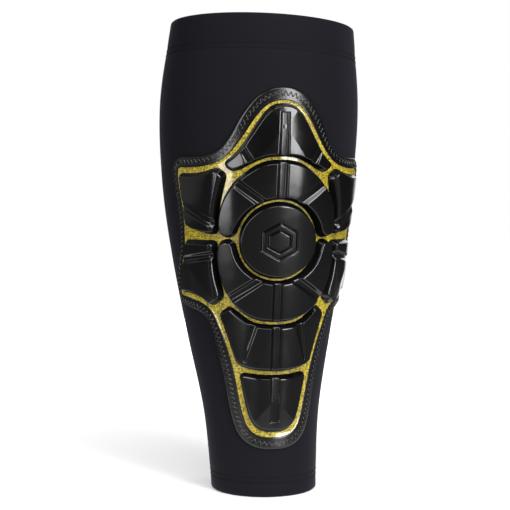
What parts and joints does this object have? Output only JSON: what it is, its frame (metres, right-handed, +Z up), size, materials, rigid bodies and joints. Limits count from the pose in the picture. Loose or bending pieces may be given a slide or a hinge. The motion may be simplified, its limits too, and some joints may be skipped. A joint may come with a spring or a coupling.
{
  "type": "shin guard",
  "caption": "Tapered knit leg sleeve carrying a moulded impact panel of glossy grooved pads down the shin, edged with a zigzag-stitched film border.",
  "frame": {"origin": "on the standing plane of the ankle rim, under the middle of the object's box", "axes": "+Z up the leg, -Y towards the front of the shin, +X across the leg; the panel is the same on both sides of its own centre line, which leans 0.6 degrees from X = 0 and passes 0.6 mm to +X of it at the round pad"},
  "size_m": [0.1312, 0.1416, 0.3034],
  "materials": {
    "knit": "fine smooth black compression knit",
    "elastic": "woven black elastic tape",
    "thread": "black polyester sewing thread",
    "backing": "yellow heathered cloth under a clear gloss film",
    "border_film": "gloss black flexible film",
    "pad_skin": "gloss black moulded polyurethane",
    "foam": "dark grey closed impact foam"
  },
  "bodies": {
    "root": {"sleeve_body": "knit", "top_hem_elastic": "elastic", "top_hem_thread_lower": "thread", "top_hem_thread_upper": "thread", "ankle_hem_thread_lower": "thread", "ankle_hem_thread_upper": "thread", "back_seam_thread": "thread", "backing_sheet": "backing", "border_flange": "border_film", "border_zigzag_thread": "thread", "top_cap_skin": "pad_skin", "top_cap_foam": "foam", "upper_arc_skin": "pad_skin", "upper_arc_foam": "foam", "disc_skin": "pad_skin", "disc_foam": "foam", "lower_arc_skin": "pad_skin", "lower_arc_foam": "foam", "fan_skin": "pad_skin", "fan_foam": "foam", "toe_skin": "pad_skin", "toe_foam": "foam", "upper_wing_right_skin": "pad_skin", "upper_wing_right_foam": "foam", "upper_wing_left_skin": "pad_skin", "upper_wing_left_foam": "foam", "lower_wing_right_skin": "pad_skin", "lower_wing_right_foam": "foam", "lower_wing_left_skin": "pad_skin", "lower_wing_left_foam": "foam"}
  },
  "joints": []
}
